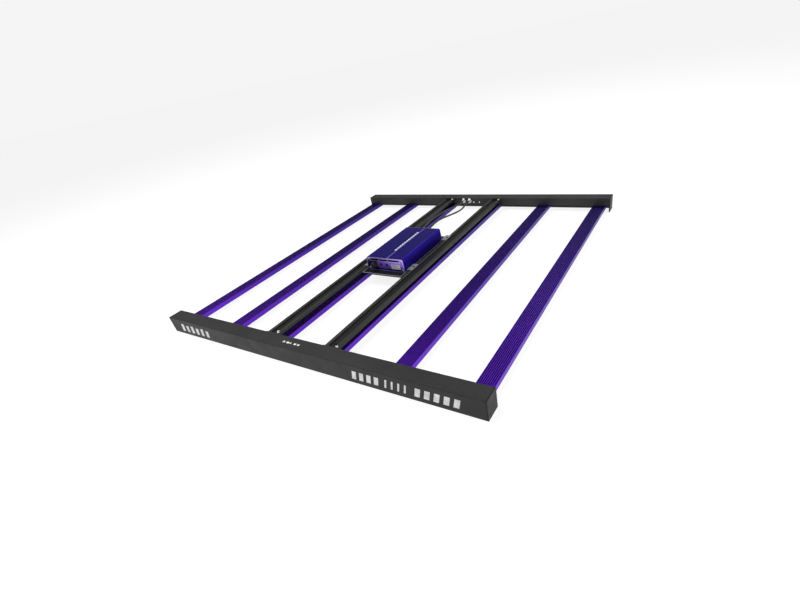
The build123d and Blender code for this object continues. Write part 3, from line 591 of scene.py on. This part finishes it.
def add_gland(bm, matrix):
    """A hexagon body, a gripped dome nut and a rubber seal round the cable, along local Z."""
    r = HEX_RADIUS
    h = HEX_HEIGHT
    top = h + DOME_HEIGHT
    hexagon = [(r * 0.92, 0), (r, 0.5 * MM), (r, h - 0.7 * MM), (r * 0.92, h)]
    add_lathe(bm, hexagon, matrix, steps=6)
    d = DOME_RADIUS
    nut = [
        (d * 0.9, h),
        (d * 0.93, h + 0.4 * MM),
        (d * 0.93, top - 3.2 * MM),
        (d * 0.86, top - 1.5 * MM),
        (d * 0.74, top - 0.4 * MM),
        (SEAL_RADIUS + 0.2 * MM, top),
        (SEAL_RADIUS, top - 0.6 * MM),
    ]
    add_lathe(bm, nut, matrix, steps=48)
    cable = CABLE_DIAMETER / 2
    seal = [
        (SEAL_RADIUS, top - 1.2 * MM),
        (SEAL_RADIUS - 0.3 * MM, top - 0.1 * MM),
        (cable, top - 0.2 * MM),
        (cable - 0.1 * MM, top - 1.5 * MM),
    ]
    add_lathe(bm, seal, matrix, steps=32, index=1)
    grip_low = (d * 0.85, -GRIP_HALF, h + 0.5 * MM)
    grip_high = (d, GRIP_HALF, top - 3.0 * MM)
    for i in range(DOME_GRIPS):
        turn = matrix @ Matrix.Rotation(2 * math.pi * i / DOME_GRIPS, 4, "Z")
        grip = bmesh.new()
        add_box(grip, grip_low, grip_high, GRIP_BEVEL)
        add_turned(bm, grip, turn)


def make_glands(materials):
    """Two glands on the driver's rear plate and two on the rear rail, where the cables end."""
    walls = {
        "driver_output_glands": (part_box("driver_rear_plate")[1].y, 1, 0),
        "rail_glands": (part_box("rear_rail")[0].y, -1, -1),
    }
    kinds = [materials["nickel"], materials["cable_black"]]
    for node, (wall, sign, end) in walls.items():
        bm = bmesh.new()
        for route in CABLE_ROUTES.values():
            point = Vector(route[end]) * MM
            add_gland(bm, facing((point.x, wall, point.z), (0, sign, 0)))
        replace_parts(mesh_object(node + "_detailed", bm, kinds), node)


# ---------- dimmer knob ----------
KNOB_FLUTES = 24
FLUTE_DEPTH = 0.8 * MM
FLUTE_STEPS = 8
KNOB_REST_TURN = math.radians(135)
KNOB_GRIP_HALF = 2.2 * MM
KNOB_GRIP_RISE = 3.0 * MM
POINTER_HALF = 0.5 * MM

TICKS = 11
TICK_STEP = 27
LONG_TICK_EVERY = 5
TICK_RADIUS = 10.9 * MM
TICK_HALF = 0.25 * MM
TICK_HEIGHT = 0.08 * MM


def add_fluted(bm, profile, matrix):
    """A solid of revolution with shallow flutes, from (radius, height, flute share) points."""
    part = bmesh.new()
    steps = KNOB_FLUTES * FLUTE_STEPS
    rings = []
    for radius, height, share in profile:
        ring = []
        for i in range(steps):
            a = 2 * math.pi * i / steps
            r = radius - FLUTE_DEPTH * share * max(0.0, math.cos(KNOB_FLUTES * a)) ** 1.5
            ring.append(part.verts.new((r * math.cos(a), r * math.sin(a), height)))
        rings.append(ring)
    for below, above in zip(rings, rings[1:]):
        for i in range(steps):
            j = (i + 1) % steps
            part.faces.new([below[i], below[j], above[j], above[i]])
    part.faces.new(rings[0])
    part.faces.new(rings[-1])
    add_turned(bm, part, matrix)


def make_knob(materials):
    """A fluted skirt with a raised grip across it and a white pointer line on the grip."""
    low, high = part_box("dimmer_knob")
    radius = (high.x - low.x) / 2
    depth = high.y - low.y
    skirt = depth - KNOB_GRIP_RISE
    matrix = facing((KNOB_CENTRE.x, high.y, KNOB_CENTRE.z), (0, -1, 0))
    matrix = matrix @ Matrix.Rotation(KNOB_REST_TURN, 4, "Z")
    profile = [
        (radius - 0.4 * MM, 0.0, 0.0),
        (radius, 0.3 * MM, 0.0),
        (radius, 2.0 * MM, 0.0),
        (radius - 0.1 * MM, 2.4 * MM, 1.0),
        (radius - 0.5 * MM, skirt - 1.4 * MM, 1.0),
        (radius - 0.9 * MM, skirt - 0.5 * MM, 0.7),
        (radius - 1.8 * MM, skirt, 0.0),
        (radius - 2.6 * MM, skirt - 0.3 * MM, 0.0),
    ]
    bm = bmesh.new()
    add_fluted(bm, profile, matrix)
    half = radius - 2.0 * MM
    grip_low = (-KNOB_GRIP_HALF, -half, skirt - 1.0 * MM)
    grip = bmesh.new()
    add_box(grip, grip_low, (KNOB_GRIP_HALF, half, depth), 0.9 * MM, 3)
    add_turned(bm, grip, matrix)
    line_low = (-POINTER_HALF, 1.5 * MM, depth - 0.3 * MM)
    line_high = (POINTER_HALF, half - 1.0 * MM, depth + 0.1 * MM)
    line = bmesh.new()
    add_box(line, line_low, line_high, 0.1 * MM)
    add_turned(bm, line, matrix, 1)
    kinds = [materials["knob_black"], materials["print_white"]]
    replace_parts(mesh_object("dimmer_knob_fluted", bm, kinds, KNOB), "dimmer_knob")


def make_dial(materials):
    """Short ticks round the knob over its 270 degrees, with longer ones at the ends and the top."""
    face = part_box("driver_front_plate")[0].y
    matrix = facing((KNOB_CENTRE.x, face, KNOB_CENTRE.z), (0, -1, 0))
    bm = bmesh.new()
    for i in range(TICKS):
        angle = KNOB_REST_TURN - math.radians(TICK_STEP * i)
        length = 1.6 * MM if i % LONG_TICK_EVERY else 2.4 * MM
        tick = bmesh.new()
        add_box(tick, (-TICK_HALF, TICK_RADIUS, 0), (TICK_HALF, TICK_RADIUS + length, TICK_HEIGHT))
        add_turned(bm, tick, matrix @ Matrix.Rotation(angle, 4, "Z"))
    mesh_object("dial_ticks", bm, [materials["print_white"]])


# ---------- sockets and inlet ----------
SOCKET_HALF = 6.5 * MM
SPRINGS = 8
SPRING_PITCH = 1.02 * MM
SPRING_HALF = 0.22 * MM
SPRING_THICKNESS = 0.3 * MM
SPRING_STEP = (3.0 * MM, 0.7 * MM)      # back and down, from one length of a spring to the next
PIN_OFFSETS = ((-7, -1.5), (0, 2), (7, -1.5))
PIN_HALF = (1.1 * MM, 2.1 * MM)


def make_socket_contacts(materials):
    """Eight gold springs in each control socket, each in three lengths that step down and back."""
    low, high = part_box("control_sockets")
    roof = high.z - 1.7 * MM
    back, down = SPRING_STEP
    bm = bmesh.new()
    for socket in (low.x + SOCKET_HALF, high.x - SOCKET_HALF):
        for i in range(SPRINGS):
            x = socket + (i - (SPRINGS - 1) / 2) * SPRING_PITCH
            for step in range(3):
                y = low.y + 1.2 * MM + back * step
                top = roof - 0.3 * MM - down * step
                corner = (x - SPRING_HALF, y, top - SPRING_THICKNESS)
                add_box(bm, corner, (x + SPRING_HALF, y + 3.1 * MM, top), 0.08 * MM, 1)
    mesh_object("socket_contacts", bm, [materials["gold"]])


def make_inlet_sleeves(materials):
    """Metal sleeves on the mains inlet's three pins."""
    low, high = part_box("mains_inlet")
    centre = (low + high) / 2
    across, tall = PIN_HALF
    bm = bmesh.new()
    for dx, dz in PIN_OFFSETS:
        x = centre.x + dx * MM
        z = centre.z + dz * MM
        root = (x - across, high.y - 14.9 * MM, z - tall)
        add_box(bm, root, (x + across, high.y - 6.9 * MM, z + tall), 0.35 * MM)
    mesh_object("inlet_pin_sleeves", bm, [materials["nickel"]])


# ---------- LEDs ----------
LED_PITCH = 25.2 * MM
LEDS_PER_ROW = 40
LED_HALF = 1.75 * MM
LED_BEVEL = 0.12 * MM
LED_BASE_SHARE = 0.55
DOME_FOOT = 1.45 * MM


def make_leds(materials):
    """Each package is a white ceramic base with a phosphor dome under it."""
    kinds = [materials["board_white"], materials["led_phosphor"]]
    r = DOME_FOOT
    for i in BARS:
        node = f"bar_{i}_leds"
        low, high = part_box(node)
        height = high.z - low.z
        under = high.z - height * LED_BASE_SHARE
        dome = [(r, 0), (r * 0.92, height * 0.25), (r * 0.6, height * 0.40), (0, height * 0.45)]
        bm = bmesh.new()
        for x in (low.x + LED_HALF, high.x - LED_HALF):
            for k in range(LEDS_PER_ROW):
                y = low.y + LED_HALF + k * LED_PITCH
                corner = (x - LED_HALF, y - LED_HALF, under)
                add_box(bm, corner, (x + LED_HALF, y + LED_HALF, high.z), LED_BEVEL, 1)
                add_lathe(bm, dome, facing((x, y, under), (0, 0, -1), ALONG), steps=16, index=1)
        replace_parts(mesh_object(node + "_domed", bm, kinds), node)


# ---------- plain printed marks ----------
PRINT_THICKNESS = 0.12 * MM
BLOCK_SLANT = 0.25
# Blocks on the front rail, in mm: count, first left edge, step, width, foot, tops in turn.
RAIL_BLOCKS = (
    (6, -488, 25, 13, 11, (37, 34)),
    (4, 200, 21, 12, 12, (36, 36)),
    (4, 292, 17, 5, 12, (36, 36)),
    (5, 370, 23, 13, 12, (36, 36)),
)
RAIL_DASHES = (7.0, 9.8, 3.5, 8.4, 6.3)
RIDGE_DASHES = 11
LABEL_LINES = ((12, 9, 5), (15, 8), (5, 11, 6))


def add_mark(bm, origin, along, up, low, high, slant=0.0):
    """A thin parallelogram on a surface, from a low (u, v) corner to a high one, in mm."""
    along = Vector(along)
    up = Vector(up)
    normal = along.cross(up)
    corners = []
    for proud in (-PRINT_THICKNESS, PRINT_THICKNESS):
        for u, v in (low, (high[0], low[1]), high, (low[0], high[1])):
            lean = slant * (v - low[1])
            point = Vector(origin) + along * (u + lean) * MM + up * v * MM + normal * proud
            corners.append(bm.verts.new(point))
    bm.faces.new(corners[:4])
    bm.faces.new(corners[4:])
    for k in range(4):
        n = (k + 1) % 4
        bm.faces.new([corners[k], corners[n], corners[4 + n], corners[4 + k]])


def make_rail_marks(materials):
    """Plain slanted blocks in place of lettering on the front rail, and short dashes on its top."""
    low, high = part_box("front_rail")
    bm = bmesh.new()
    for count, start, step, width, foot, tops in RAIL_BLOCKS:
        for k in range(count):
            u = start + step * k
            corner = (u + width, tops[k % 2])
            add_mark(bm, (0, low.y, 0), ACROSS, UP, (u, foot), corner, BLOCK_SLANT)
    for k, width in enumerate(RAIL_DASHES):
        u = -36 + 13 * k
        add_mark(bm, (0, -540 * MM, high.z), ACROSS, ALONG, (u, -3), (u + width, 3))
    mesh_object("rail_marks", bm, [materials["print_white"]])


def make_ridge_marks(materials):
    """Dashes beside the driver's ridge, in place of lettering."""
    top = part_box("driver_housing")[1].z
    bm = bmesh.new()
    for k in range(RIDGE_DASHES):
        v = -62 + 13.5 * k
        add_mark(bm, (2.6 * MM, 0, top - 1.0 * MM), ACROSS, ALONG, (0, v), (9.0, v + 10.5))
    mesh_object("driver_marks", bm, [materials["print_white"]])


def make_label_lines(materials):
    """Rows of dashes on the rating label, in place of its text."""
    low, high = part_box("rating_label")
    bm = bmesh.new()
    for row, widths in enumerate(LABEL_LINES):
        u = 2.0
        v = (high.z - low.z) / MM - 4.0 - 4.4 * row
        for width in widths:
            add_mark(bm, low, ACROSS, UP, (u, v), (u + width, v + 0.8))
            u += width + 1.5
    mesh_object("label_lines", bm, [materials["dial_navy"]])


# ---------- studio ----------
BACKDROP_LIGHT = 0.913
HORIZON_LIGHT = 0.60
ZENITH_LIGHT = 0.15
FADE_BAND = (0.02, 0.26)
FLOOR_RADIUS = 60.0
FLOOR_DROP = 0.0005
FLOOR_GLOW = 0.86
AIM = (0, 0, 0.02)
# Position, size and power of each area light.
LIGHTS = {
    "key": ((-1.2, -0.4, 3.0), (2.4, 2.4), 85),
    "side": ((2.4, -0.1, 0.75), (1.8, 0.8), 26),
    "back": ((0.3, 2.9, 2.6), (2.6, 1.0), 20),
}


def make_stage():
    """A plain pale floor, wide enough to meet the horizon."""
    bm = bmesh.new()
    bmesh.ops.create_circle(bm, cap_ends=True, segments=96, radius=FLOOR_RADIUS)
    data = bpy.data.meshes.new("stage")
    bm.to_mesh(data)
    bm.free()
    floor = bpy.data.objects.new("stage", data)
    paper = Surface("stage_paper", (0.25, 0.25, 0.25), roughness=0.9, specular=0.0)
    paper.color(paper.blend(paper.noise(3.0), (0.24, 0.24, 0.24), (0.26, 0.26, 0.26)))
    paper.set("Emission Color", (1.0, 1.0, 1.0, 1.0))
    paper.set("Emission Strength", FLOOR_GLOW)
    data.materials.append(paper.material)
    bpy.context.scene.collection.objects.link(floor)
    floor.location.z = -FLOOR_DROP


def make_world():
    """A white backdrop for the camera. Else the light falls off from horizon to dark ceiling."""
    world = bpy.data.worlds.new("studio")
    world.use_nodes = True
    tree = world.node_tree
    background = next(n for n in tree.nodes if n.type == "BACKGROUND")
    background.inputs["Color"].default_value = (1.0, 1.0, 1.0, 1.0)
    coordinate = tree.nodes.new("ShaderNodeTexCoord")
    parts = tree.nodes.new("ShaderNodeSeparateXYZ")
    fade = tree.nodes.new("ShaderNodeMapRange")
    fade.interpolation_type = "SMOOTHSTEP"
    fade.inputs["From Min"].default_value, fade.inputs["From Max"].default_value = FADE_BAND
    fade.inputs["To Min"].default_value = HORIZON_LIGHT
    fade.inputs["To Max"].default_value = ZENITH_LIGHT
    tree.links.new(coordinate.outputs["Generated"], parts.inputs["Vector"])
    tree.links.new(parts.outputs["Z"], fade.inputs["Value"])
    seen = tree.nodes.new("ShaderNodeLightPath")
    choose = tree.nodes.new("ShaderNodeMix")
    choose.inputs["B"].default_value = BACKDROP_LIGHT
    tree.links.new(seen.outputs["Is Camera Ray"], choose.inputs["Factor"])
    tree.links.new(fade.outputs["Result"], choose.inputs["A"])
    tree.links.new(choose.outputs["Result"], background.inputs["Strength"])
    bpy.context.scene.world = world


def make_lights():
    """Soft rectangles of light, all aimed at the middle of the object."""
    for name, (position, size, power) in LIGHTS.items():
        data = bpy.data.lights.new(name, "AREA")
        data.shape = "RECTANGLE"
        data.size, data.size_y = size
        data.energy = power
        light = bpy.data.objects.new(name, data)
        bpy.context.scene.collection.objects.link(light)
        light.matrix_world = facing(position, Vector(position) - Vector(AIM))


# ---------- build ----------
make_camera()
MATERIALS = make_materials()
for cable_node in CABLE_ROUTES:
    make_cable(cable_node, MATERIALS["cable_black"])
paint_nodes(MATERIALS)
make_glands(MATERIALS)
make_knob(MATERIALS)
make_dial(MATERIALS)
make_socket_contacts(MATERIALS)
make_inlet_sleeves(MATERIALS)
make_leds(MATERIALS)
make_rail_marks(MATERIALS)
make_ridge_marks(MATERIALS)
make_label_lines(MATERIALS)
make_stage()
make_world()
make_lights()
bpy.context.scene.view_settings.view_transform = "Standard"
